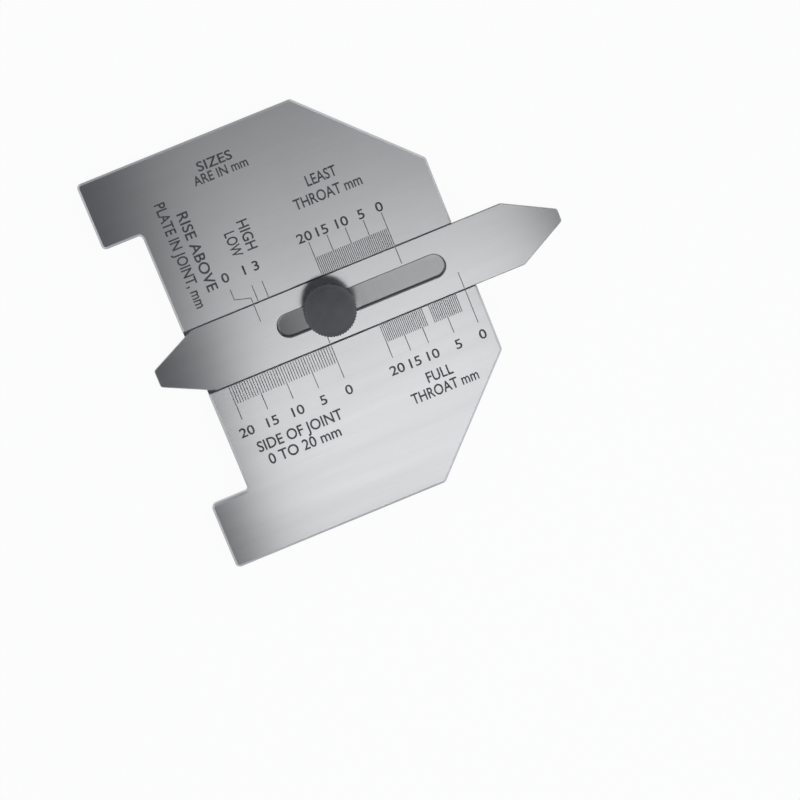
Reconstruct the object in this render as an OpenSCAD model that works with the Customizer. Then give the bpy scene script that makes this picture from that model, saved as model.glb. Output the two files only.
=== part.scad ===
// Weld gauge: a flat plate with two feet and two 45 degree corners, a pointed slider in a
// channel across the plate, and a knurled thumb screw that clamps the slider.
// Millimetres. The plate lies on its back, the slider runs along X and the scales face up.
// The origin is on the back face, on the slider's centre line, midway between its two points.

/* [Plate] */
// Width from the face of the feet to the right edge
plate_w = 60; // [56:0.5:80]
// Height across the two feet
plate_h = 75; // [66:0.5:100]
// Thickness
plate_t = 3.2; // [2.8:0.1:6]
// Leg of the 45 degree cut at each right-hand corner
corner_cut = 18.75; // [8:0.25:22]
// Height of each foot
foot_h = 12.5; // [6:0.5:18]
// Depth of the notch between the feet
notch_d = 7.4; // [4:0.1:9]
// Radius of the plate's corners
corner_r = 0.8; // [0.6:0.1:2]
// Radius at the roots of the notch
root_r = 0.8; // [0.2:0.1:3]
// Bevel along the plate's edges
plate_bevel = 0.4; // [0.1:0.05:0.5]

/* [Slider] */
// Width
slider_w = 12; // [9:0.5:16]
// Thickness
slider_t = 1.5; // [1:0.1:2]
// Length of the taper at each end
taper_len = 9.2; // [5:0.1:14]
// Width of the flat on the left point
left_point_w = 3.2; // [2:0.1:5]
// Width of the flat on the right point
right_point_w = 2.4; // [2:0.1:5]
// Radius of the slider's corners
point_r = 0.6; // [0.4:0.1:0.9]
// Bevel along the slider's edges
slider_bevel = 0.15; // [0.1:0.05:0.35]
// Gap between the thumb screw's shank and each side of the slot
slot_gap = 0.1; // [0.05:0.05:0.6]
// Bevel around the slot
slot_bevel = 0.2; // [0.1:0.05:0.4]
// Travel to the left from zero
travel_left = 20.5; // [10:0.5:22]
// Travel to the right from zero
travel_right = 7.8; // [3:0.1:9]

/* [Channel] */
// Gap between the slider and each wall of the channel
side_gap = 0.1; // [0.05:0.05:0.3]
// How far the slider's face lies below the plate's face
slider_recess = 0.1; // [0:0.05:0.3]
// Bevel along the channel's edges
channel_bevel = 0.1; // [0.1:0.05:0.4]

/* [Thumb screw] */
// Distance of the screw from the face of the feet
screw_x = 33.5; // [30:0.5:38]
// Diameter of the head over the knurl
head_d = 9.5; // [8:0.5:14]
// Height of the head
head_h = 7.5; // [3:0.5:10]
// Height of the plain bevelled rim at each end of the head
rim_h = 0.4; // [0.2:0.1:1.2]
// How far the rims lie inside the roots of the knurl
rim_inset = 0.1; // [0.05:0.05:0.4]
// Number of knurl ridges
knurl_count = 52; // [24:1:60]
// Depth of the knurl
knurl_d = 0.2; // [0.1:0.05:0.5]
// Diameter of the shank
shank_d = 4; // [3:0.1:5]
// Radial clearance of the shank in its hole
shank_gap = 0.05; // [0.02:0.01:0.1]
// How far the shank's end stays inside the back face
shank_short = 0.2; // [0:0.1:0.6]
// Bevel on the shank's end
shank_bevel = 0.4; // [0.1:0.1:0.8]

/* [Scales] */
// Width of an engraved line
line_w = 0.14; // [0.08:0.01:0.2]
// Depth of an engraved line
line_d = 0.08; // [0.04:0.01:0.2]
// Length of a fine mark
fine_len = 3.4; // [2:0.1:4]
// Length of a main mark
main_len = 6.4; // [4:0.1:8]
// Weld leg at the end of each scale
leg_max = 20; // [10:1:20]
// Weld leg between fine marks
leg_step = 0.5; // [0.5:0.5:2]
// Weld leg between main marks
main_step = 5; // [2:1:10]
// Zero of the leg scale, from the face of the feet
leg_zero = 31.3; // [30:0.1:33]
// Zero of the concavity scale, from the face of the feet
concave_zero = 48.8; // [46:0.1:52]
// Zero of the convexity scale, from the face of the feet
convex_zero = 57.7; // [50:0.1:58]
// Allowed crown on a small weld
small_crown = 1.25; // [1:0.05:2]
// Allowed crown on a large weld
large_crown = 2.7; // [2:0.1:4]
// Least weld leg marked on the convexity scale
crown_least = 1; // [0:0.5:3]
// Weld leg where the allowed crown changes
crown_change = 8.5; // [4:0.5:12]
// Zero of the cap height scale, from the face of the feet
cap_zero = 21.2; // [18:0.1:22]
// Least cap height marked
cap_least = 1; // [0.5:0.1:1.5]
// Greatest cap height marked
cap_most = 3; // [2:0.1:4]
// Length of a cap height mark
cap_len = 3.1; // [2:0.1:5]
// Length of the cap height scale's zero mark
cap_zero_len = 1.1; // [0.6:0.1:2]
// Sideways step of the zero mark's leader
leader_run = 2.9; // [1:0.1:5]
// Rise of the leader over that step
leader_rise = 0.8; // [0.2:0.1:2]
// Length of the leader's upright end
leader_end = 2; // [1:0.1:4]
// Space between an index line on the slider and its slot
index_space = 0.4; // [0.3:0.1:1]

/* [Hidden] */
$fn = 64;
// Greatest turn of one straight step in a rounded corner, in degrees
corner_step = 23;
// How far a cutting shape reaches past the face that it cuts
over = 1;
// Distance from the right edge to where the lines of the two 45 degree faces meet
apex_d = plate_h / 2 - corner_cut;
slider_len = plate_w + apex_d;
feet_x = -slider_len / 2;
channel_half = slider_w / 2 + side_gap;
channel_z = plate_t - slider_recess - slider_t;
slider_z = plate_t - slider_recess;
screw_at = feet_x + screw_x;
head_r = head_d / 2;
knurl_root_r = head_r - knurl_d;
rim_r = knurl_root_r - rim_inset;
shank_r = shank_d / 2;
slot_r = shank_r + slot_gap;
index_len = slider_w / 2 - slot_r - slot_bevel - index_space;

function unit(v) = v / norm(v);
function at_angle(angle) = [cos(angle), sin(angle)];
// The inward normal of an edge of an outline that runs anticlockwise
function inward(p, q) = let (d = unit(q - p)) [-d.y, d.x];

// The points of corner p, between neighbours a and b, rounded to radius r
function corner_arc(a, p, b, r) =
    let (
        ua = unit(a - p),
        ub = unit(b - p),
        half = acos(ua * ub) / 2,
        centre = p + unit(ua + ub) * r / sin(half),
        from = p + ua * r / tan(half) - centre,
        to = p + ub * r / tan(half) - centre,
        start = atan2(from.y, from.x),
        turn = atan2(from.x * to.y - from.y * to.x, from * to),
        steps = ceil(abs(turn) / corner_step)
    )
    [for (i = [0 : steps]) centre + r * at_angle(start + turn * i / steps)];

// The points of each corner of an outline that is given as [point, radius] corners
function rounded(corners) =
    let (n = len(corners))
    [for (i = [0 : n - 1])
        corner_arc(corners[(i + n - 1) % n][0], corners[i][0], corners[(i + 1) % n][0], corners[i][1])];

// Numbers of the first and last point of corner i, and of all points from corner i to corner j
function first(arcs, i) = i == 0 ? 0 : first(arcs, i - 1) + len(arcs[i - 1]);
function last(arcs, i) = first(arcs, i + 1) - 1;
function span(arcs, i, j) = [for (k = [first(arcs, i) : last(arcs, j)]) k];

// A face seen from its other side, still starting at the same point
function flipped(face) = concat([face[0]], [for (i = [len(face) - 1 : -1 : 1]) face[i]]);

// An anticlockwise outline moved inwards by d
function inset(points, d) =
    let (n = len(points))
    [for (i = [0 : n - 1])
        let (
            before = inward(points[(i + n - 1) % n], points[i]),
            after = inward(points[i], points[(i + 1) % n])
        )
        points[i] + d * (before + after) / (1 + before * after)];

function at_height(points, z) = [for (p = points) [p.x, p.y, z]];

// Distance that the slider moves to meet the face of a flat fillet weld of a given leg
function throat(leg) = leg * cos(45);
function mark_len(leg) = leg > 0 && leg % main_step == 0 ? main_len : fine_len;

// The marks of each scale as [distance left of its zero, length]
leg_marks = concat([[0, main_len]], [for (leg = [leg_step : leg_step : leg_max]) [leg, mark_len(leg)]]);
concave_marks = [for (m = leg_marks) [throat(m[0]), m[1]]];
convex_marks = concat(
    [[0, main_len]],
    [for (leg = [crown_least : leg_step : crown_change]) [throat(leg) + small_crown, mark_len(leg)]],
    [for (leg = [crown_change : leg_step : leg_max]) [throat(leg) + large_crown, mark_len(leg)]]
);
cap_marks = [[0, cap_zero_len], [-cap_least, cap_len], [-cap_most, cap_len]];

plate_arcs =
    let (
        half = plate_h / 2,
        right = feet_x + plate_w,
        notch_x = feet_x + notch_d,
        notch_y = half - foot_h
    )
    rounded([
        [[feet_x, -half], corner_r],
        [[right - corner_cut, -half], corner_r],
        [[right, corner_cut - half], corner_r],
        [[right, half - corner_cut], corner_r],
        [[right - corner_cut, half], corner_r],
        [[feet_x, half], corner_r],
        [[feet_x, notch_y], corner_r],
        [[notch_x, notch_y], root_r],
        [[notch_x, -notch_y], root_r],
        [[feet_x, -notch_y], corner_r]
    ]);

slider_arcs =
    let (
        right = feet_x + slider_len,
        half = slider_w / 2,
        left_half = left_point_w / 2,
        right_half = right_point_w / 2
    )
    rounded([
        [[feet_x, -left_half], point_r],
        [[feet_x + taper_len, -half], point_r],
        [[right - taper_len, -half], point_r],
        [[right, -right_half], point_r],
        [[right, right_half], point_r],
        [[right - taper_len, half], point_r],
        [[feet_x + taper_len, half], point_r],
        [[feet_x, left_half], point_r]
    ]);

// The plate's face in three parts, each seen whole from its first point: the upper foot, the
// lower foot and the middle
plate_face = [
    span(plate_arcs, 4, 7),
    concat([last(plate_arcs, 1)], span(plate_arcs, 8, 9), [for (k = [0 : last(plate_arcs, 1) - 1]) k]),
    concat(
        [last(plate_arcs, 1)],
        span(plate_arcs, 2, 3),
        [first(plate_arcs, 4), last(plate_arcs, 7), first(plate_arcs, 8)]
    )
];
slider_face = [span(slider_arcs, 0, len(slider_arcs) - 1)];

knurl_outline = [
    for (i = [0 : 2 * knurl_count - 1])
        (i % 2 == 0 ? head_r : knurl_root_r) * at_angle(i * 180 / knurl_count)
];

// A flat plate from z0 to z1 with both edges of its outline bevelled
module bevelled_plate(arcs, face, z0, z1, bevel) {
    outline = [for (arc = arcs) each arc];
    rim = inset(outline, bevel);
    n = len(outline);
    polyhedron(
        points = concat(
            at_height(rim, z0),
            at_height(outline, z0 + bevel),
            at_height(outline, z1 - bevel),
            at_height(rim, z1)
        ),
        faces = concat(
            face,
            [for (part = face) [for (i = flipped(part)) 3 * n + i]],
            [for (ring = [0 : 2], i = [0 : n - 1])
                let (a = ring * n + i, b = ring * n + (i + 1) % n)
                [a, a + n, b + n, b]]
        )
    );
}

// A groove between two points of a face at height z
module engraved_line(p, q, z) {
    run = q - p;
    translate([p.x, p.y, z - line_d])
        rotate(atan2(run.y, run.x))
            translate([-line_w / 2, -line_w / 2, 0])
                cube([norm(run) + line_w, line_w, line_d + over]);
}

// The marks of a scale, out from the channel's edge above (side 1) or below (side -1) the slider
module scale_marks(zero, marks, side) {
    for (m = marks) {
        x = feet_x + zero - m[0];
        engraved_line([x, side * (channel_half - over)], [x, side * (channel_half + m[1])], plate_t);
    }
}

// The leader from the cap height scale's zero mark to its numeral
module cap_leader() {
    foot = [feet_x + cap_zero, channel_half + cap_zero_len];
    bend = foot + [-leader_run, leader_rise];
    engraved_line(foot, bend, plate_t);
    engraved_line(bend, bend + [0, leader_end], plate_t);
}

// An index line in from the slider's upper (side 1) or lower (side -1) edge
module index_line(zero, side) {
    x = feet_x + zero;
    edge = slider_w / 2;
    engraved_line([x, side * (edge + over)], [x, side * (edge - index_len)], slider_z);
}

// The channel's section, bevelled at its mouth, run along X past both of the plate's edges
module channel_cut() {
    lip = channel_bevel + over;
    translate([feet_x - over, 0, 0])
        rotate([90, 0, 90])
            linear_extrude(plate_w + 2 * over)
                polygon([
                    [-channel_half, channel_z],
                    [channel_half, channel_z],
                    [channel_half, plate_t - channel_bevel],
                    [channel_half + lip, plate_t + over],
                    [-channel_half - lip, plate_t + over],
                    [-channel_half, plate_t - channel_bevel]
                ]);
}

// The slot's section, bevelled at the slider's face, between the two ends of the travel
module slot_cut() {
    left = screw_at - travel_right;
    right = screw_at + travel_left;
    lip = slot_bevel + over;
    bevel_z = slider_z - slot_bevel;
    for (x = [left, right]) {
        translate([x, 0, channel_z - over])
            cylinder(h = slider_t + 2 * over, r = slot_r);
        translate([x, 0, bevel_z])
            cylinder(h = lip, r1 = slot_r, r2 = slot_r + lip);
    }
    translate([left, 0, 0])
        rotate([90, 0, 90])
            linear_extrude(right - left)
                polygon([
                    [-slot_r, channel_z - over],
                    [slot_r, channel_z - over],
                    [slot_r, bevel_z],
                    [slot_r + lip, bevel_z + lip],
                    [-slot_r - lip, bevel_z + lip],
                    [-slot_r, bevel_z]
                ]);
}

module gauge_plate() {
    color([0.76, 0.76, 0.75])
        difference() {
            bevelled_plate(plate_arcs, plate_face, 0, plate_t, plate_bevel);
            channel_cut();
            translate([screw_at, 0, -over])
                cylinder(h = plate_t + 2 * over, r = shank_r + shank_gap);
            scale_marks(leg_zero, leg_marks, -1);
            scale_marks(concave_zero, concave_marks, 1);
            scale_marks(convex_zero, convex_marks, -1);
            scale_marks(cap_zero, cap_marks, 1);
            cap_leader();
        }
}

module slider() {
    color([0.72, 0.72, 0.71])
        difference() {
            bevelled_plate(slider_arcs, slider_face, channel_z, slider_z, slider_bevel);
            slot_cut();
            index_line(cap_zero, 1);
            index_line(concave_zero, 1);
            index_line(leg_zero, -1);
            index_line(convex_zero, -1);
        }
}

module thumb_screw() {
    top_z = slider_z + head_h;
    color([0.1, 0.1, 0.11])
        translate([screw_at, 0, 0])
            union() {
                rotate_extrude()
                    polygon([
                        [0, shank_short],
                        [shank_r - shank_bevel, shank_short],
                        [shank_r, shank_short + shank_bevel],
                        [shank_r, slider_z],
                        [rim_r - rim_h, slider_z],
                        [rim_r, slider_z + rim_h],
                        [rim_r, top_z - rim_h],
                        [rim_r - rim_h, top_z],
                        [0, top_z]
                    ]);
                translate([0, 0, slider_z + rim_h])
                    linear_extrude(head_h - 2 * rim_h)
                        polygon(knurl_outline);
            }
}

gauge_plate();
slider();
thumb_screw();
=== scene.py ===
"""Looks of the weld gauge, laid out as an add-on and run as a script.

The CAD plate and slider stay and get brushed steel. A turned, knurled and threaded screw replaces
the CAD thumb screw. Paint fills the engraved lines, and numerals and captions lie on the plate.
Lengths are metres in the CAD frame: X along the slider, Y across it, Z out of the engraved face.
"""

import math

import bmesh
import bpy
import numpy as np
from bpy.props import FloatProperty, FloatVectorProperty, IntProperty, PointerProperty
from mathutils import Matrix, Vector


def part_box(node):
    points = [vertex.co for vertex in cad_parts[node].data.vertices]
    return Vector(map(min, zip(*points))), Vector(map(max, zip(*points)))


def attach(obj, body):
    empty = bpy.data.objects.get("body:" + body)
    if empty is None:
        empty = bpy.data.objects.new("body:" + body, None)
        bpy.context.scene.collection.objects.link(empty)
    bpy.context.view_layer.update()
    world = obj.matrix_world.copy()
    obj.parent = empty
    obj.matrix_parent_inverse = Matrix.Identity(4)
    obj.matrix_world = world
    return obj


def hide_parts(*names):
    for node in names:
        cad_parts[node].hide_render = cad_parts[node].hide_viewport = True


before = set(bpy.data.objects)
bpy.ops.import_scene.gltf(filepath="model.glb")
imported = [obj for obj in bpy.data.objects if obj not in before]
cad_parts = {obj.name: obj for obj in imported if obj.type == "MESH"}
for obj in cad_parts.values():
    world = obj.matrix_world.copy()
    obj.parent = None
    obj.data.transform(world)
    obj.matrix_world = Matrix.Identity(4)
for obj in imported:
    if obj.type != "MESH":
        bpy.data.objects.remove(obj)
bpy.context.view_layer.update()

bl_info = {
    "name": "Weld gauge",
    "version": (1, 0, 0),
    "blender": (4, 5, 0),
    "location": "3D View > Sidebar > Gauge",
    "description": "Dresses the CAD weld gauge and sets its stage",
    "category": "Object",
}

MM = 0.001
PLATE_LOW, PLATE_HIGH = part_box("gauge_plate")
SLIDER_LOW, SLIDER_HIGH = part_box("slider")
SCREW_LOW, SCREW_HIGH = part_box("thumb_screw")
FEET_X = PLATE_LOW.x
PLATE_FACE = PLATE_HIGH.z
SLIDER_FACE = SLIDER_HIGH.z
SCREW_CENTRE = (SCREW_LOW + SCREW_HIGH) / 2


# Settings


def length(name, description, value):
    """A length property in metres."""
    return FloatProperty(
        name=name, description=description, default=value, min=0, unit="LENGTH", precision=5
    )


def factor(name, description, value):
    """A property from 0 to 1."""
    return FloatProperty(
        name=name, description=description, default=value, min=0, max=1, subtype="FACTOR"
    )


def colour(name, description, value):
    """A linear colour property."""
    return FloatVectorProperty(
        name=name, description=description, default=value, min=0, max=1, size=3, subtype="COLOR"
    )


def signed(name, description, value, most):
    """A property from minus most to most."""
    return FloatProperty(name=name, description=description, default=value, min=-most, max=most)


def degrees(name, description, value):
    """An angle property, its value given in degrees."""
    return FloatProperty(
        name=name, description=description, default=math.radians(value), subtype="ANGLE"
    )


class GaugeSteel(bpy.types.PropertyGroup):
    """Finish of the plate and the slider, with painted shade on their cut edges and channel floor"""

    plate_colour: colour("Plate colour", "Colour of the plate's steel", (0.602, 0.603, 0.614))
    slider_colour: colour("Slider colour", "Colour of the slider's steel", (0.625, 0.627, 0.637))
    roughness: factor("Roughness", "Roughness of the brushed faces", 0.29)
    brushing: factor("Brushing", "How far highlights spread across the brushing", 0.904)
    slider_lean: signed("Slider lean", "Slope of the slider's face along its length", -0.014, 0.1)
    twist: signed("Twist", "Change of the faces' slope along X over a metre across it", 0.2, 1)
    band_length: length("Band length", "Length of the broad faint bands", 45 * MM)
    band_width: length("Band width", "Width of the broad faint bands", 3 * MM)
    hair_length: length("Hairline length", "Length of the finest brush lines", 7 * MM)
    hair_width: length("Hairline width", "Width of the finest brush lines", 0.1 * MM)
    streak_length: length("Streak length", "Length of the broader brush streaks", 24 * MM)
    streak_width: length("Streak width", "Width of the broader brush streaks", 0.4 * MM)
    cloud_size: length("Cloud size", "Size of the faint clouds in the finish", 9 * MM)
    # The edge shades darken the colour of the cut edges and bevels: painted shade for the dark lines
    # along the gaps and edges.
    plate_edge: factor("Plate edge shade", "How much duller the plate's cut edges are", 0.12)
    slider_edge: factor("Slider edge shade", "How much duller the slider's cut edges are", 0.5)
    # The channel shade darkens the colour of the milled floor: painted shade for the recess under the
    # slot.
    floor_shade: factor("Channel shade", "How much duller the milled channel floor is", 0.25)
    floor_lean: signed("Channel lean", "Slope of the milled floor along the channel", -0.072, 0.1)
    floor_depth: length("Channel depth", "Depth below the face where the milled floor begins", 0.8 * MM)
    mill_pitch: length("Mill pitch", "Distance between the tool marks on the channel floor", 0.35 * MM)


class GaugeScrew(bpy.types.PropertyGroup):
    """Sizes and finish of the thumb screw"""

    colour: colour("Colour", "Colour of the blackened steel", (0.059, 0.058, 0.061))
    roughness: factor("Roughness", "Roughness of the blackened steel", 0.42)
    knurl_count: IntProperty(name="Ridges", description="Number of knurl ridges", default=52, min=12)
    knurl_depth: length("Knurl depth", "Depth of the knurl", 0.2 * MM)
    rim_height: length("Rim height", "Height of the plain rim at each end of the head", 0.4 * MM)
    rim_inset: length("Rim inset", "How far the rims lie inside the knurl's roots", 0.1 * MM)
    dome: length("Dome", "Rise of the head's top towards its middle", 0.2 * MM)
    shank_radius: length("Shank radius", "Outer radius of the thread", 2 * MM)
    shank_bevel: length("Shank bevel", "Bevel on the shank's end", 0.4 * MM)
    thread_pitch: length("Thread pitch", "Distance between two turns of the thread", 0.7 * MM)
    thread_depth: length("Thread depth", "Depth of the thread", 0.38 * MM)
    turning_pitch: length("Turning pitch", "Distance between the tool marks on the head's top", 0.2 * MM)
    turning_depth: length("Turning depth", "Depth of the tool marks on the head's top", 0.004 * MM)


class GaugeScales(bpy.types.PropertyGroup):
    """Sizes of the engraved scales, as in the CAD source, and their paint"""

    paint: colour("Paint", "Colour of the paint in the engraving", (0.045, 0.045, 0.047))
    line_width: length("Line width", "Width of an engraved line", 0.14 * MM)
    line_depth: length("Line depth", "Depth of an engraved line", 0.08 * MM)
    fine_length: length("Fine mark", "Length of a fine mark", 3.4 * MM)
    main_length: length("Main mark", "Length of a main mark", 6.4 * MM)
    channel_half: length("Channel half width", "Half width of the slider's channel", 6.1 * MM)
    channel_bevel: length("Channel bevel", "Bevel along the channel's edges", 0.1 * MM)
    slider_bevel: length("Slider bevel", "Bevel along the slider's edges", 0.15 * MM)
    index_length: length("Index line", "Length of an index line on the slider", 3.3 * MM)
    leg_zero: length("Leg zero", "Zero of the leg scale, from the feet", 31.3 * MM)
    concave_zero: length("Hollow zero", "Zero of the hollow weld scale, from the feet", 48.8 * MM)
    convex_zero: length("Round zero", "Zero of the round weld scale, from the feet", 57.7 * MM)
    cap_zero: length("Cap zero", "Zero of the cap height scale, from the feet", 21.2 * MM)
    small_crown: length("Small crown", "Allowed crown on a small weld", 1.25 * MM)
    large_crown: length("Large crown", "Allowed crown on a large weld", 2.7 * MM)
    crown_least: length("Least round weld", "Least weld leg marked on the round weld scale", 1 * MM)
    crown_change: length("Crown change", "Weld leg where the allowed crown changes", 8.5 * MM)
    cap_least: length("Least cap", "Least cap height marked", 1 * MM)
    cap_most: length("Greatest cap", "Greatest cap height marked", 3 * MM)
    cap_length: length("Cap mark", "Length of a cap height mark", 3.1 * MM)
    cap_zero_length: length("Cap zero mark", "Length of the cap scale's zero mark", 1.1 * MM)
    leader_run: length("Leader step", "Sideways step of the zero mark's leader", 2.9 * MM)
    leader_rise: length("Leader rise", "Rise of the leader over that step", 0.8 * MM)
    leader_end: length("Leader end", "Length of the leader's upright end", 2 * MM)
    numeral_height: length("Numeral height", "Height of a numeral", 1.75 * MM)
    numeral_stretch: FloatProperty(
        name="Numeral stretch", description="Width of a numeral over its plain width",
        default=1.18, min=0.5,
    )
    caption_height: length("Caption height", "Height of a caption's capitals", 2 * MM)
    stroke: factor("Stroke", "How much the letters' strokes are thickened", 0.014)


class GaugeStage(bpy.types.PropertyGroup):
    """Light, floor and camera"""

    key_power: FloatProperty(
        name="Key power", description="Power of the strip light", default=0.0765, unit="POWER"
    )
    key_length: length("Key length", "Length of the strip light", 110.6 * MM)
    key_width: length("Key width", "Width of the strip light", 21.6 * MM)
    key_place: FloatVectorProperty(
        name="Key place", description="Centre of the strip light",
        default=(9.6 * MM, -55.8 * MM, 254 * MM), size=3, subtype="XYZ", unit="LENGTH",
    )
    zenith: factor("Zenith", "Strength of the sky overhead", 0.052)
    far_horizon: factor("Far horizon", "Strength of the sky low on the upper left", 0.9)
    near_horizon: FloatProperty(
        name="Near horizon", description="Strength of the sky low on the lower right", default=1.4, min=0
    )
    sky: colour("Sky", "Colour of the sky", (0.89, 0.92, 1.0))
    floor: colour("Floor", "Colour of the floor", (0.9, 0.9, 0.9))
    floor_size: length("Floor size", "Width of the floor", 6)
    floor_gap: length("Floor gap", "Gap between the floor and the gauge's back", 0.05 * MM)
    floor_glow: factor("Floor glow", "Share of the floor's white that takes no shadow", 0.93)
    camera_aim: FloatVectorProperty(
        name="Camera aim", description="Point of the engraved face in the middle of the picture",
        default=(-0.205 * MM, -20.23 * MM), size=2, subtype="XYZ", unit="LENGTH",
    )
    camera_distance: length("Camera distance", "Distance of the camera from its aim", 350 * MM)
    camera_width: length("View width", "Width of the picture at the camera's aim", 145.89 * MM)
    camera_tilt: degrees("Camera tilt", "Lean of the camera from upright, towards the upper edge", 6.71)
    camera_side: degrees("Camera side", "Lean of the camera from upright, towards the feet", 1.84)
    camera_turn: degrees("Camera turn", "Turn of the camera about its own axis", -22.151)


# Node helpers


def add_node(tree, kind, inputs, **settings):
    """A node of one kind with its settings set, each socket given a value or linked to an output."""
    node = tree.nodes.new(kind)
    for name, value in settings.items():
        setattr(node, name, value)
    for socket, value in inputs.items():
        if isinstance(value, bpy.types.NodeSocket):
            tree.links.new(value, node.inputs[socket])
        else:
            node.inputs[socket].default_value = value
    return node


def calculate(tree, operation, a, b=0.0, c=0.0):
    """The result of a Math node."""
    return add_node(tree, "ShaderNodeMath", {0: a, 1: b, 2: c}, operation=operation).outputs[0]


def from_middle(tree, noise, amount):
    """A noise that runs about 0.5, moved to run about 0 and multiplied by an amount."""
    return calculate(tree, "MULTIPLY_ADD", noise, amount, -amount / 2)


def varied(tree, middle, *swings):
    """A middle value plus the swing of each (noise, amount) about 0."""
    total = middle
    for noise, amount in swings:
        total = calculate(tree, "ADD", from_middle(tree, noise, amount), total)
    return total


def to_world(tree, vector):
    """A vector of the object turned into the world."""
    node = add_node(
        tree, "ShaderNodeVectorTransform", {"Vector": vector},
        vector_type="VECTOR", convert_from="OBJECT", convert_to="WORLD",
    )
    return node.outputs[0]


def stretched_noise(tree, coords, along, across, detail=2.0):
    """Noise whose spots are along metres long in X and across metres wide in Y and Z."""
    mapped = add_node(
        tree, "ShaderNodeMapping", {"Vector": coords, "Scale": (1 / along, 1 / across, 1 / across)}
    )
    noise = add_node(
        tree, "ShaderNodeTexNoise", {"Vector": mapped.outputs[0], "Scale": 1.0, "Detail": detail}
    )
    return noise.outputs[0]


def new_material(name):
    """A material with its node tree and its shader."""
    material = bpy.data.materials.new(name)
    material.use_nodes = True
    tree = material.node_tree
    return material, tree, tree.nodes["Principled BSDF"]


def shaded_colour(tree, shader, base, shade):
    """Links a colour multiplied by a shade to the shader's base colour."""
    scaled = add_node(tree, "ShaderNodeVectorMath", {0: base, "Scale": shade}, operation="SCALE")
    tree.links.new(scaled.outputs[0], shader.inputs["Base Color"])


# Materials


def brushed_steel(name, base, steel, lean, edge_painted_shade):
    """Steel brushed along X, its face and a milled floor leaning and twisting a little along X.

    Fine hairlines, broader streaks and broad faint bands tilt the normal across X and vary the
    colour and the roughness. Highlights spread across the brushing. Faces that don't lie flat are
    cut edges, which are rougher and get a darker colour, painted shade for the dark gap and edge
    lines. A floor milled below the face gets mill marks in its roughness and a darker colour,
    painted shade for the recess.
    """
    hair_tilt, streak_tilt, band_tilt = 0.035, 0.025, 0.02
    hair_shade, streak_shade, band_shade, cloud_shade = 0.06, 0.07, 0.14, 0.05
    streak_rough, cloud_rough, edge_rough, floor_rough, mill_rough = 0.016, 0.012, 0.14, 0.03, 0.05
    flat_from, flat_to = 0.74, 0.97
    mill_stretch = 10
    across_brushing = (0.0, 1.0, 0.02)
    material, tree, shader = new_material(name)
    coords = add_node(tree, "ShaderNodeTexCoord", {}).outputs["Object"]
    hair = stretched_noise(tree, coords, steel.hair_length, steel.hair_width)
    streak = stretched_noise(tree, coords, steel.streak_length, steel.streak_width)
    band = stretched_noise(tree, coords, steel.band_length, steel.band_width, detail=1.0)
    cloud = stretched_noise(tree, coords, steel.cloud_size, steel.cloud_size, detail=3.0)
    mill = stretched_noise(tree, coords, steel.mill_pitch, mill_stretch * steel.mill_pitch)
    geometry = add_node(tree, "ShaderNodeNewGeometry", {})
    own_normal = add_node(
        tree, "ShaderNodeVectorTransform", {"Vector": geometry.outputs["True Normal"]},
        vector_type="NORMAL", convert_from="WORLD", convert_to="OBJECT",
    )
    upright = add_node(tree, "ShaderNodeSeparateXYZ", {0: own_normal.outputs[0]}).outputs["Z"]
    flatness = calculate(tree, "ABSOLUTE", upright)
    edge = add_node(
        tree, "ShaderNodeMapRange",
        {"Value": flatness, "From Min": flat_from, "From Max": flat_to, "To Min": 1.0, "To Max": 0.0},
    ).outputs[0]

    axes = add_node(tree, "ShaderNodeSeparateXYZ", {0: coords}).outputs
    # Mask of the milled floor: upright faces below the face, which get mill marks, a lean and painted
    # shade.
    deep = calculate(tree, "LESS_THAN", axes["Z"], PLATE_FACE - steel.floor_depth)
    faces_up = calculate(tree, "GREATER_THAN", upright, flat_to)
    milled = calculate(tree, "MULTIPLY", deep, faces_up)

    shade = varied(
        tree, 1.0, (hair, hair_shade), (streak, streak_shade), (band, band_shade), (cloud, cloud_shade)
    )
    # Painted shade: the colour is darkened on cut edges for the dark gap and edge lines, and on the
    # milled floor for the recess.
    painted_shade = calculate(tree, "MULTIPLY_ADD", edge, -edge_painted_shade, 1.0)
    painted_shade = calculate(tree, "MULTIPLY_ADD", milled, -steel.floor_shade, painted_shade)
    shaded_colour(tree, shader, base, calculate(tree, "MULTIPLY", shade, painted_shade))

    rough = varied(tree, steel.roughness, (streak, streak_rough), (cloud, cloud_rough))
    rough = calculate(tree, "MULTIPLY_ADD", edge, edge_rough, rough)
    mill_mark = varied(tree, floor_rough, (mill, mill_rough))
    rough = calculate(tree, "MULTIPLY_ADD", milled, mill_mark, rough)
    tree.links.new(rough, shader.inputs["Roughness"])

    tilt = varied(tree, 0.0, (hair, hair_tilt), (streak, streak_tilt), (band, band_tilt))
    slope = calculate(tree, "MULTIPLY_ADD", axes["Y"], -steel.twist, lean)
    slope = calculate(tree, "MULTIPLY_ADD", milled, steel.floor_lean, slope)
    across = add_node(tree, "ShaderNodeCombineXYZ", {"X": slope, "Y": tilt}).outputs[0]
    tilted = add_node(
        tree, "ShaderNodeVectorMath", {0: geometry.outputs["Normal"], 1: to_world(tree, across)}
    )
    normal = add_node(tree, "ShaderNodeVectorMath", {0: tilted.outputs[0]}, operation="NORMALIZE")
    tree.links.new(normal.outputs[0], shader.inputs["Normal"])

    tree.links.new(to_world(tree, across_brushing), shader.inputs["Tangent"])
    shader.inputs["Anisotropic"].default_value = steel.brushing
    shader.inputs["Metallic"].default_value = 1.0
    return material


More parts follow.
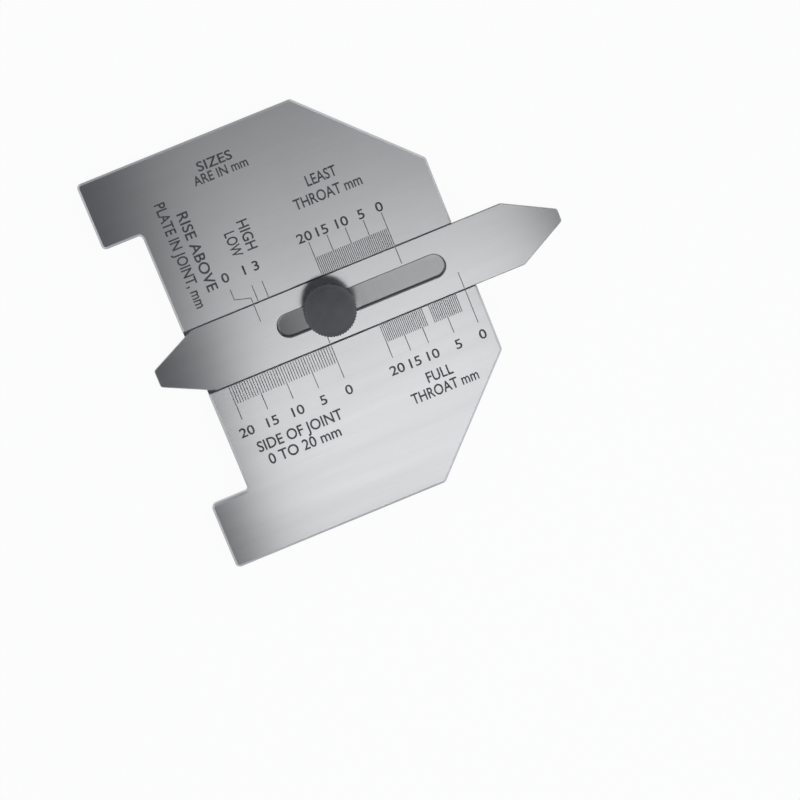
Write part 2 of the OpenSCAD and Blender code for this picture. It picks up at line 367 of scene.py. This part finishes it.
def blackened_steel(name, screw):
    """Blackened steel turned about the screw's axis.

    Tool marks run round the axis, so highlights spread away from it. A trace of height keeps that
    direction from vanishing on the axis. Clouds vary the colour and the roughness.
    """
    turned = 0.4
    cloud_size, grain_size = 2.2 * MM, 0.12 * MM
    cloud_shade, grain_shade, cloud_rough, grain_rough = 0.5, 0.4, 0.16, 0.12
    below_axis = Vector((SCREW_CENTRE.x, SCREW_CENTRE.y, -1.0))
    level_only = (1.0, 1.0, 1e-5)
    material, tree, shader = new_material(name)
    coords = add_node(tree, "ShaderNodeTexCoord", {}).outputs["Object"]
    cloud = stretched_noise(tree, coords, cloud_size, cloud_size, detail=3.0)
    grain = stretched_noise(tree, coords, grain_size, grain_size)
    shade = varied(tree, 1.0, (cloud, cloud_shade), (grain, grain_shade))
    shaded_colour(tree, shader, screw.colour, shade)
    rough = varied(tree, screw.roughness, (cloud, cloud_rough), (grain, grain_rough))
    tree.links.new(rough, shader.inputs["Roughness"])
    away = add_node(tree, "ShaderNodeVectorMath", {0: coords, 1: below_axis}, operation="SUBTRACT")
    level = add_node(
        tree, "ShaderNodeVectorMath", {0: away.outputs[0], 1: level_only}, operation="MULTIPLY"
    )
    radial = add_node(tree, "ShaderNodeVectorMath", {0: level.outputs[0]}, operation="NORMALIZE")
    tree.links.new(to_world(tree, radial.outputs[0]), shader.inputs["Tangent"])
    shader.inputs["Anisotropic"].default_value = turned
    shader.inputs["Metallic"].default_value = 0.0
    return material


def scale_paint(name, base):
    """Matt paint rubbed into the engraving, a little uneven in colour and gloss."""
    patch_size, grain_size = 1.6 * MM, 0.06 * MM
    patch_shade, grain_shade, grain_rough = 0.7, 0.5, 0.2
    rough_middle = 0.55
    material, tree, shader = new_material(name)
    coords = add_node(tree, "ShaderNodeTexCoord", {}).outputs["Object"]
    patch = stretched_noise(tree, coords, patch_size, patch_size)
    grain = stretched_noise(tree, coords, grain_size, grain_size)
    shade = varied(tree, 1.0, (patch, patch_shade), (grain, grain_shade))
    shaded_colour(tree, shader, base, shade)
    rough = varied(tree, rough_middle, (grain, grain_rough))
    tree.links.new(rough, shader.inputs["Roughness"])
    return material


def floor_white(name, stage):
    """A pale floor: part of it glows white to the camera and in mirrors, the rest takes shadow."""
    blotch_size, blotch_shade, roughness = 300 * MM, 0.02, 0.9
    material, tree, shader = new_material(name)
    coords = add_node(tree, "ShaderNodeTexCoord", {}).outputs["Object"]
    blotch = stretched_noise(tree, coords, blotch_size, blotch_size)
    shaded_colour(tree, shader, stage.floor, varied(tree, 1.0, (blotch, blotch_shade)))
    shader.inputs["Roughness"].default_value = roughness
    path = add_node(tree, "ShaderNodeLightPath", {}).outputs
    seen = calculate(tree, "MAXIMUM", path["Is Camera Ray"], path["Is Glossy Ray"])
    seen = calculate(tree, "MAXIMUM", seen, path["Is Transmission Ray"])
    glow = add_node(tree, "ShaderNodeEmission", {"Color": (1, 1, 1, 1), "Strength": 1.0})
    share = calculate(tree, "MULTIPLY", seen, stage.floor_glow)
    mixed = add_node(
        tree, "ShaderNodeMixShader", {0: share, 1: shader.outputs[0], 2: glow.outputs[0]}
    )
    tree.links.new(mixed.outputs[0], tree.nodes["Material Output"].inputs["Surface"])
    return material


# Mesh helpers


def link_piece(name, mesh, material):
    """An object at the origin with this mesh and this material alone."""
    mesh.materials.clear()
    mesh.materials.append(material)
    piece = bpy.data.objects.new(name, mesh)
    bpy.context.scene.collection.objects.link(piece)
    return piece


def add_piece(name, points, faces, material):
    """An object at the origin whose mesh has these points and faces."""
    mesh = bpy.data.meshes.new(name)
    mesh.from_pydata(points.tolist(), [], faces)
    mesh.update()
    return link_piece(name, mesh, material)


def turned_faces(rings, steps):
    """Faces of a turned surface: ring i and step j join ring i + 1 and step j + 1 in a quad, the
    last step joins the first, and a fan of triangles closes each end at its pole."""
    ring, step = np.meshgrid(np.arange(rings - 1), np.arange(steps), indexing="ij")
    here = ring * steps + step
    after = ring * steps + (step + 1) % steps
    quads = np.stack([here, after, after + steps, here + steps], -1).reshape(-1, 4)
    around = np.arange(steps)
    turned = (around + 1) % steps
    last = (rings - 1) * steps
    low_pole = np.full(steps, rings * steps)
    low = np.stack([low_pole, turned, around], -1)
    high = np.stack([low_pole + 1, last + around, last + turned], -1)
    return quads.tolist() + low.tolist() + high.tolist()


def eased_profile(corners, reach, steps):
    """A profile with each corner eased: from reach before the corner to reach after it, the curve
    is a parabola, the weighted mean (1 - t)^2 a + 2 t (1 - t) p + t^2 b of both ends and the corner.
    The reach takes no more than a set share of a side. The first and last corners stay."""
    share = 0.45
    p = np.array(corners)
    before = p[:-2] - p[1:-1]
    after = p[2:] - p[1:-1]
    a = p[1:-1] + before * np.minimum(reach / np.linalg.norm(before, axis=1), share)[:, None]
    b = p[1:-1] + after * np.minimum(reach / np.linalg.norm(after, axis=1), share)[:, None]
    t = np.linspace(0, 1, steps)[None, :, None]
    bends = (1 - t) ** 2 * a[:, None] + 2 * t * (1 - t) * p[1:-1, None] + t**2 * b[:, None]
    return np.concatenate([p[:1], bends.reshape(-1, 2), p[-1:]])


def triangle_wave(turns):
    """1 at whole turns, 0 at half turns, straight between."""
    return 2 * np.abs(turns % 1 - 0.5)


def screw_surface(screw):
    """Points of the thumb screw as rings about its axis, then its low pole and its high pole.

    The radius is a function of the station along the profile and of the angle. Along the shank
    it falls from the thread's outer radius by the thread's depth times a triangle wave of height
    over pitch less angle over one turn. Round the head it rises from the knurl's root by its depth
    times a triangle wave of the ridges, held under a 45 degree cone at each end. The top
    face sinks by the dome times the square of the radius over the face's radius, and shallow tool
    marks wave it. The head stays a hair above the slider's face.
    """
    ridge_steps, thread_rings, chamfer_rings = 10, 56, 6
    end_share, face_share, lead_in = 0.2, 0.9, 0.5
    under_gap, pole_gap = 0.01 * MM, 0.1 * MM
    ease, ease_steps = 0.06 * MM, 4
    steps = ridge_steps * screw.knurl_count
    low, under, top = SCREW_LOW.z, SLIDER_FACE + under_gap, SCREW_HIGH.z
    tip = (SCREW_HIGH.x - SCREW_LOW.x) / 2
    root = tip - screw.knurl_depth
    rim = root - screw.rim_inset
    rim_face = rim - screw.rim_height
    shank = screw.shank_radius

    end = eased_profile(
        [[end_share * shank, low], [shank - screw.shank_bevel, low], [shank, low + screw.shank_bevel]],
        ease, ease_steps,
    )
    thread_z = np.linspace(low + screw.shank_bevel, under, thread_rings)[1:]
    thread = np.stack([np.full_like(thread_z, shank), thread_z], -1)
    below = eased_profile(
        [[shank, under], [rim_face, under], [rim, under + screw.rim_height]], ease, ease_steps
    )[1:-1]
    band_low = under + screw.rim_height
    band_high = top - screw.rim_height
    chamfer = screw.knurl_depth + screw.rim_inset
    run_up = np.linspace(0, chamfer, chamfer_rings)
    band_z = np.concatenate([band_low + run_up, [SCREW_CENTRE.z], band_high - run_up[::-1]])
    band = np.stack([np.full_like(band_z, tip), band_z], -1)
    face_edge = [face_share * rim_face, top - face_share**2 * screw.dome]
    over = eased_profile(
        [[rim, band_high], [rim_face, top - screw.dome], face_edge], ease, ease_steps
    )[1:]
    marks = np.arange(face_share * rim_face, pole_gap, -screw.turning_pitch / 2)[1:]
    wave = screw.turning_depth * (np.arange(len(marks)) % 2)
    mark_z = top - screw.dome * (marks / rim_face) ** 2 - wave
    face = np.stack([marks, mark_z], -1)

    profile = np.concatenate([end, thread, below, band, over, face])
    angle = np.arange(steps) * 2 * np.pi / steps
    radius = np.repeat(profile[:, :1], steps, 1)
    height = np.repeat(profile[:, 1:], steps, 1)

    threaded = slice(len(end), len(end) + len(thread) - 1)
    fade = np.clip((under - height[threaded]) / screw.thread_pitch, 0, 1)
    fade *= np.clip((height[threaded] - low - screw.shank_bevel) / (lead_in * screw.thread_pitch), 0, 1)
    turns = height[threaded] / screw.thread_pitch - angle[None, :] / (2 * np.pi)
    radius[threaded] -= screw.thread_depth * fade * (1 - triangle_wave(turns))

    start = len(end) + len(thread) + len(below)
    knurled = slice(start, start + len(band))
    ridge = root + screw.knurl_depth * triangle_wave(angle * screw.knurl_count / (2 * np.pi))
    from_end = np.minimum(height[knurled] - band_low, band_high - height[knurled])
    radius[knurled] = np.minimum(ridge[None, :], rim + from_end)

    rings = np.stack([radius * np.cos(angle), radius * np.sin(angle), height], -1)
    rings[..., 0] += SCREW_CENTRE.x
    rings[..., 1] += SCREW_CENTRE.y
    poles = [[SCREW_CENTRE.x, SCREW_CENTRE.y, low], [SCREW_CENTRE.x, SCREW_CENTRE.y, top]]
    return np.concatenate([rings.reshape(-1, 3), poles]), len(profile), steps


def filled_lines(starts, ends, face, scales):
    """Points and faces of the paint in engraved lines.

    One section, flat below and sagging to the middle above, is carried from each line's start to
    its end. A point is start + s (end - start) + a across + z up, for the section's (a, z).
    """
    bite, fill_gap, sag = 0.01 * MM, 0.012 * MM, 0.014 * MM
    half = scales.line_width / 2 + bite
    upper, lower = [1, 0.5, 0, -0.5, -1], [-1, 1]
    a = np.array(upper + lower) * half
    dip = sag * (1 - (a[:len(upper)] / half) ** 2)
    low = np.full(len(lower), face - scales.line_depth - bite)
    z = np.concatenate([face - fill_gap - dip, low])
    run = ends - starts
    run /= np.linalg.norm(run, axis=1)[:, None]
    across = np.stack([-run[:, 1], run[:, 0]], -1)
    section = across[:, None, :] * a[None, :, None]
    rows = np.stack([starts[:, None, :] + section, ends[:, None, :] + section], 1)
    heights = np.broadcast_to(z, rows.shape[:3])[..., None]
    points = np.concatenate([rows, heights], -1).reshape(-1, 3)
    n = len(z)
    first = 2 * n * np.arange(len(starts))[:, None]
    i = np.arange(n)[None, :]
    j = (i + 1) % n
    sides = np.stack([first + i, first + j, first + n + j, first + n + i], -1).reshape(-1, 4)
    near = first + i[:, ::-1]
    far = first + n + i
    return points, sides.tolist() + near.tolist() + far.tolist()


def mark_lines(zero, distance, lengths, side, scales):
    """Starts and ends of a scale's marks, out from the channel's bevel on side 1 or -1."""
    x = FEET_X + zero - distance
    near = np.full_like(x, scales.channel_half + scales.channel_bevel)
    far = scales.channel_half + lengths + scales.line_width / 2
    return np.stack([x, side * near], -1), np.stack([x, side * far], -1)


def plate_lines(scales):
    """Starts and ends of every engraved line on the plate.

    A mark stands at its weld leg on the leg scale. On the weld face scales it stands at the leg
    times cos 45 degrees, plus the allowed crown on the round one.
    """
    leg_most, leg_step, main_step = 20, 0.5, 5
    fine, main = scales.fine_length, scales.main_length
    leg = np.arange(0, leg_most + leg_step / 2, leg_step)
    half_step = leg_step / 2 * MM
    throat = leg * MM * math.cos(math.pi / 4)
    fifth = leg % main_step == 0
    lengths = np.where(fifth, main, fine)
    small = (leg * MM > scales.crown_least - half_step) & (leg * MM < scales.crown_change + half_step)
    large = leg * MM > scales.crown_change - half_step
    round_distance = np.concatenate(
        [[0], throat[small] + scales.small_crown, throat[large] + scales.large_crown]
    )
    small_lengths = np.where(fifth & (leg > 0), main, fine)[small]
    round_lengths = np.concatenate([[main], small_lengths, lengths[large]])
    cap = np.array([0, -scales.cap_least, -scales.cap_most])
    cap_lengths = np.array([scales.cap_zero_length, scales.cap_length, scales.cap_length])
    rows = [
        mark_lines(scales.leg_zero, leg * MM, lengths, -1, scales),
        mark_lines(scales.concave_zero, throat, lengths, 1, scales),
        mark_lines(scales.convex_zero, round_distance, round_lengths, -1, scales),
        mark_lines(scales.cap_zero, cap, cap_lengths, 1, scales),
    ]
    foot = np.array([FEET_X + scales.cap_zero, scales.channel_half + scales.cap_zero_length])
    bend = foot + [-scales.leader_run, scales.leader_rise]
    tip = bend + [0, scales.leader_end]
    rows.append((np.array([foot, bend]), np.array([bend, tip])))
    return np.concatenate([r[0] for r in rows]), np.concatenate([r[1] for r in rows])


def slider_lines(scales):
    """Starts and ends of the index lines on the slider."""
    zeros = np.array([scales.cap_zero, scales.concave_zero, scales.leg_zero, scales.convex_zero])
    side = np.array([1, 1, -1, -1])
    edge = (SLIDER_HIGH.y - SLIDER_LOW.y) / 2
    x = FEET_X + zeros
    near = side * (edge - scales.slider_bevel)
    far = side * (edge - scales.index_length - scales.line_width / 2)
    return np.stack([x, near], -1), np.stack([x, far], -1)


# Lettering


def letter_mesh(words, stroke):
    """Letters one unit in size and one unit thick as a closed mesh."""
    curve_steps, half_thickness = 4, 0.5
    curve = bpy.data.curves.new("letters", "FONT")
    curve.body = words
    curve.resolution_u = curve_steps
    curve.extrude = half_thickness
    curve.offset = stroke
    source = bpy.data.objects.new("letters", curve)
    bpy.context.scene.collection.objects.link(source)
    graph = bpy.context.evaluated_depsgraph_get()
    mesh = bpy.data.meshes.new_from_object(source.evaluated_get(graph))
    bpy.data.objects.remove(source)
    bpy.data.curves.remove(curve)
    return mesh


def mesh_points(mesh):
    """A mesh's points as an array."""
    points = np.empty(len(mesh.vertices) * 3)
    mesh.vertices.foreach_get("co", points)
    return points.reshape(-1, 3)


def lettering(name, rows, stroke, stretch, material):
    """One piece that holds rows of letters, each (words, centre x, centre y, height, width, turn).

    Each row's letters are centred, scaled to the height of a capital and to the row's width, or
    stretched by a factor where it has none, turned, and laid a hair proud of the plate's face with
    the rest inside it.
    """
    proud, sunk = 0.004 * MM, 0.012 * MM
    joining = 1e-4
    capital = letter_mesh("H", stroke)
    capital_points = mesh_points(capital)
    capital_height = np.ptp(capital_points[:, 1])
    middle_y = capital_points[:, 1].min() + capital_height / 2
    bpy.data.meshes.remove(capital)
    joined = bmesh.new()
    for words, x, y, height, width, turn in rows:
        mesh = letter_mesh(words, stroke)
        points = mesh_points(mesh)
        middle_x = (points[:, 0].min() + points[:, 0].max()) / 2
        tall = height / capital_height
        wide = width / np.ptp(points[:, 0]) if width else tall * stretch
        place = (
            Matrix.Translation((FEET_X + x, y, PLATE_FACE + (proud - sunk) / 2))
            @ Matrix.Rotation(turn, 4, "Z")
            @ Matrix.Diagonal((wide, tall, proud + sunk, 1))
            @ Matrix.Translation((-middle_x, -middle_y, 0))
        )
        cleaned = bmesh.new()
        cleaned.from_mesh(mesh)
        bmesh.ops.remove_doubles(cleaned, verts=cleaned.verts, dist=joining)
        bmesh.ops.beautify_fill(cleaned, faces=cleaned.faces, edges=cleaned.edges)
        bmesh.ops.recalc_face_normals(cleaned, faces=cleaned.faces)
        cleaned.to_mesh(mesh)
        cleaned.free()
        mesh.transform(place)
        joined.from_mesh(mesh)
        bpy.data.meshes.remove(mesh)
    mesh = bpy.data.meshes.new(name)
    joined.to_mesh(mesh)
    joined.free()
    return link_piece(name, mesh, material)


def numeral_rows(scales):
    """The numerals of every scale, each centred under or over its mark.

    The hollow weld scale's greater numerals stand a little left of theirs.
    """
    leg_y, concave_y, convex_y, cap_y = -14.9 * MM, 13.7 * MM, -14.8 * MM, 12.3 * MM
    to_left = {10: 0.2 * MM, 15: 0.5 * MM, 20: 0.4 * MM}
    cap_numerals = (("0", 18.3 * MM), ("1", 21.95 * MM), ("3", 24.2 * MM))
    throat = MM * math.cos(math.pi / 4)
    h = scales.numeral_height
    rows = []
    for leg in (0, 5, 10, 15, 20):
        rows.append((str(leg), scales.leg_zero - leg * MM, leg_y, h, None, 0))
        concave_x = scales.concave_zero - leg * throat - to_left.get(leg, 0)
        rows.append((str(leg), concave_x, concave_y, h, None, 0))
        crown = scales.small_crown if leg * MM < scales.crown_change else scales.large_crown
        crown = crown if leg else 0
        rows.append((str(leg), scales.convex_zero - leg * throat - crown, convex_y, h, None, 0))
    for words, x in cap_numerals:
        rows.append((words, x, cap_y, h, None, 0))
    return rows


def caption_rows(scales):
    """Plain words that say what each scale reads, as (words, x, y, height, width, turn)."""
    h = scales.caption_height
    small = scales.numeral_height
    down = -math.pi / 2
    rows = [
        ("LEAST", 41.2, 22.8, h, 5.8, 0),
        ("THROAT mm", 41.2, 19.6, h, 13, 0),
        ("SIDE OF JOINT", 20.2, -18.4, h, 16.5, 0),
        ("0 TO 20 mm", 20.0, -21.2, h, 14, 0),
        ("FULL", 47.7, -18.4, h, 5, 0),
        ("THROAT mm", 47.7, -21.1, h, 13, 0),
        ("RISE ABOVE", 15.5, 18.5, h, 15, down),
        ("PLATE IN JOINT, mm", 12.4, 19, h, 20, down),
        ("LOW", 22, 17.3, h, 4.6, down),
        ("HIGH", 24.9, 18, h, 5.6, down),
        ("SIZES", 24.5, 32.4, small, 6.6, 0),
        ("ARE IN mm", 24.8, 30.2, small, 10.3, 0),
    ]
    return [(words, x * MM, y * MM, tall, wide * MM, turn) for words, x, y, tall, wide, turn in rows]


# Operators


class GAUGE_OT_steel(bpy.types.Operator):
    """Gives the CAD plate and slider their brushed steel"""

    bl_idname = "gauge.steel"
    bl_label = "Brushed steel"

    def execute(self, context):
        steel = context.scene.gauge_steel
        # The last value of each finish is the painted shade on its cut edges.
        finishes = (
            ("gauge_plate", steel.plate_colour, 0.0, steel.plate_edge),
            ("slider", steel.slider_colour, steel.slider_lean, steel.slider_edge),
        )
        for node, base, lean, edge_painted_shade in finishes:
            material = brushed_steel(node + "_steel", base, steel, lean, edge_painted_shade)
            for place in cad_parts[node].material_slots:
                place.material = material
        return {"FINISHED"}


class GAUGE_OT_thumb_screw(bpy.types.Operator):
    """Makes the turned thumb screw in place of its CAD solid"""

    bl_idname = "gauge.thumb_screw"
    bl_label = "Thumb screw"

    def execute(self, context):
        screw = context.scene.gauge_screw
        points, rings, steps = screw_surface(screw)
        material = blackened_steel("blackened_steel", screw)
        piece = add_piece("turned_thumb_screw", points, turned_faces(rings, steps), material)
        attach(piece, "thumb_screw")
        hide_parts("thumb_screw")
        return {"FINISHED"}


class GAUGE_OT_line_paint(bpy.types.Operator):
    """Fills the engraved lines of the plate and the slider with paint"""

    bl_idname = "gauge.line_paint"
    bl_label = "Line paint"

    def execute(self, context):
        scales = context.scene.gauge_scales
        material = scale_paint("line_paint", scales.paint)
        plate_points, plate_faces = filled_lines(*plate_lines(scales), PLATE_FACE, scales)
        plate_piece = add_piece("plate_line_paint", plate_points, plate_faces, material)
        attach(plate_piece, "gauge_plate")
        slider_points, slider_faces = filled_lines(*slider_lines(scales), SLIDER_FACE, scales)
        slider_piece = add_piece("slider_line_paint", slider_points, slider_faces, material)
        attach(slider_piece, "slider")
        return {"FINISHED"}


class GAUGE_OT_numerals(bpy.types.Operator):
    """Lays the scales' numerals on the plate"""

    bl_idname = "gauge.numerals"
    bl_label = "Numerals"

    def execute(self, context):
        scales = context.scene.gauge_scales
        material = scale_paint("numeral_paint", scales.paint)
        piece = lettering(
            "scale_numerals", numeral_rows(scales), scales.stroke, scales.numeral_stretch, material
        )
        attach(piece, "gauge_plate")
        return {"FINISHED"}


class GAUGE_OT_captions(bpy.types.Operator):
    """Lays the scales' captions on the plate"""

    bl_idname = "gauge.captions"
    bl_label = "Captions"

    def execute(self, context):
        scales = context.scene.gauge_scales
        material = scale_paint("caption_paint", scales.paint)
        piece = lettering("scale_captions", caption_rows(scales), scales.stroke, 1.0, material)
        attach(piece, "gauge_plate")
        return {"FINISHED"}


class GAUGE_OT_stage(bpy.types.Operator):
    """Sets the floor, the light and the camera"""

    bl_idname = "gauge.stage"
    bl_label = "Stage"

    def execute(self, context):
        scene = context.scene
        stage = scene.gauge_stage
        self.lay_floor(stage)
        self.light_sky(scene, stage)
        self.hang_key(scene, stage)
        self.set_camera(scene, stage)
        scene.view_settings.view_transform = "Standard"
        return {"FINISHED"}

    def lay_floor(self, stage):
        """A flat grid of points x, y from minus half to half the floor's size, just below the back."""
        cells = 8
        line = np.linspace(-0.5, 0.5, cells + 1) * stage.floor_size
        x, y = np.meshgrid(line, line, indexing="ij")
        points = np.stack([x, y, np.full_like(x, -stage.floor_gap)], -1).reshape(-1, 3)
        i, j = np.meshgrid(np.arange(cells), np.arange(cells), indexing="ij")
        corner = i * (cells + 1) + j
        faces = np.stack([corner, corner + cells + 1, corner + cells + 2, corner + 1], -1)
        material = floor_white("floor_white", stage)
        floor = add_piece("floor", points, faces.reshape(-1, 4).tolist(), material)

    def light_sky(self, scene, stage):
        """A sky that is dim overhead and pale to the left and right and towards the horizon."""
        low_from, low_to = 0.3, 0.75
        aside_from, aside_to = 0.2, 0.55
        lower_right = (0.6, -0.8, 0)
        world = bpy.data.worlds.new("studio")
        world.use_nodes = True
        tree = world.node_tree
        direction = add_node(tree, "ShaderNodeTexCoord", {}).outputs["Generated"]
        axes = add_node(tree, "ShaderNodeSeparateXYZ", {0: direction}).outputs
        low = add_node(
            tree, "ShaderNodeMapRange",
            {"Value": axes["Z"], "From Min": low_from, "From Max": low_to, "To Min": 1.0, "To Max": 0.0},
            interpolation_type="SMOOTHSTEP",
        )
        sideways = calculate(tree, "ABSOLUTE", axes["X"])
        aside = add_node(
            tree, "ShaderNodeMapRange",
            {"Value": sideways, "From Min": aside_from, "From Max": aside_to},
            interpolation_type="SMOOTHSTEP",
        )
        towards = add_node(
            tree, "ShaderNodeVectorMath", {0: direction, 1: lower_right}, operation="DOT_PRODUCT"
        )
        pale = add_node(
            tree, "ShaderNodeMapRange",
            {"Value": towards.outputs["Value"], "From Min": -1.0, "From Max": 1.0,
             "To Min": stage.far_horizon, "To Max": stage.near_horizon},
        )
        share = calculate(tree, "MAXIMUM", low.outputs[0], aside.outputs[0])
        strength = add_node(
            tree, "ShaderNodeMapRange",
            {"Value": share, "To Min": stage.zenith, "To Max": pale.outputs[0]},
        ).outputs[0]
        tree.links.new(strength, tree.nodes["Background"].inputs["Strength"])
        tree.nodes["Background"].inputs["Color"].default_value = (*stage.sky, 1)
        scene.world = world

    def hang_key(self, scene, stage):
        """A level strip light above the gauge, out past its lower edge."""
        light = bpy.data.lights.new("key_strip", "AREA")
        light.shape = "RECTANGLE"
        light.size = stage.key_length
        light.size_y = stage.key_width
        light.energy = stage.key_power
        key = bpy.data.objects.new("key_strip", light)
        key.location = stage.key_place
        scene.collection.objects.link(key)

    def set_camera(self, scene, stage):
        """A camera that looks down on the engraved face, its axis tilted a little from upright."""
        sensor_mm, nearest = 36, 10 * MM
        data = bpy.data.cameras.new("camera")
        data.sensor_width = sensor_mm
        data.lens = sensor_mm * stage.camera_distance / stage.camera_width
        data.clip_start = nearest
        camera = bpy.data.objects.new("camera", data)
        camera.matrix_world = (
            Matrix.Translation((*stage.camera_aim, PLATE_FACE))
            @ Matrix.Rotation(-stage.camera_side, 4, "Y")
            @ Matrix.Rotation(-stage.camera_tilt, 4, "X")
            @ Matrix.Rotation(stage.camera_turn, 4, "Z")
            @ Matrix.Translation((0, 0, stage.camera_distance))
        )
        scene.collection.objects.link(camera)
        scene.camera = camera


OPERATORS = (
    GAUGE_OT_steel,
    GAUGE_OT_thumb_screw,
    GAUGE_OT_line_paint,
    GAUGE_OT_numerals,
    GAUGE_OT_captions,
    GAUGE_OT_stage,
)


class GAUGE_PT_pieces(bpy.types.Panel):
    """Lists the gauge's pieces"""

    bl_label = "Weld gauge"
    bl_space_type = "VIEW_3D"
    bl_region_type = "UI"
    bl_category = "Gauge"

    def draw(self, context):
        for operator in OPERATORS:
            self.layout.operator(operator.bl_idname)


GROUPS = {
    "gauge_steel": GaugeSteel,
    "gauge_screw": GaugeScrew,
    "gauge_scales": GaugeScales,
    "gauge_stage": GaugeStage,
}


def register():
    """Registers the settings, the operators and the panel."""
    for name, group in GROUPS.items():
        bpy.utils.register_class(group)
        setattr(bpy.types.Scene, name, PointerProperty(type=group))
    for item in (*OPERATORS, GAUGE_PT_pieces):
        bpy.utils.register_class(item)


def unregister():
    """Undoes register."""
    for item in (GAUGE_PT_pieces, *reversed(OPERATORS)):
        bpy.utils.unregister_class(item)
    for name, group in GROUPS.items():
        delattr(bpy.types.Scene, name)
        bpy.utils.unregister_class(group)


def main():
    register()
    bpy.ops.gauge.steel()
    bpy.ops.gauge.thumb_screw()
    bpy.ops.gauge.line_paint()
    bpy.ops.gauge.numerals()
    bpy.ops.gauge.captions()
    bpy.ops.gauge.stage()
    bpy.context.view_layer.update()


if __name__ == "__main__":
    main()
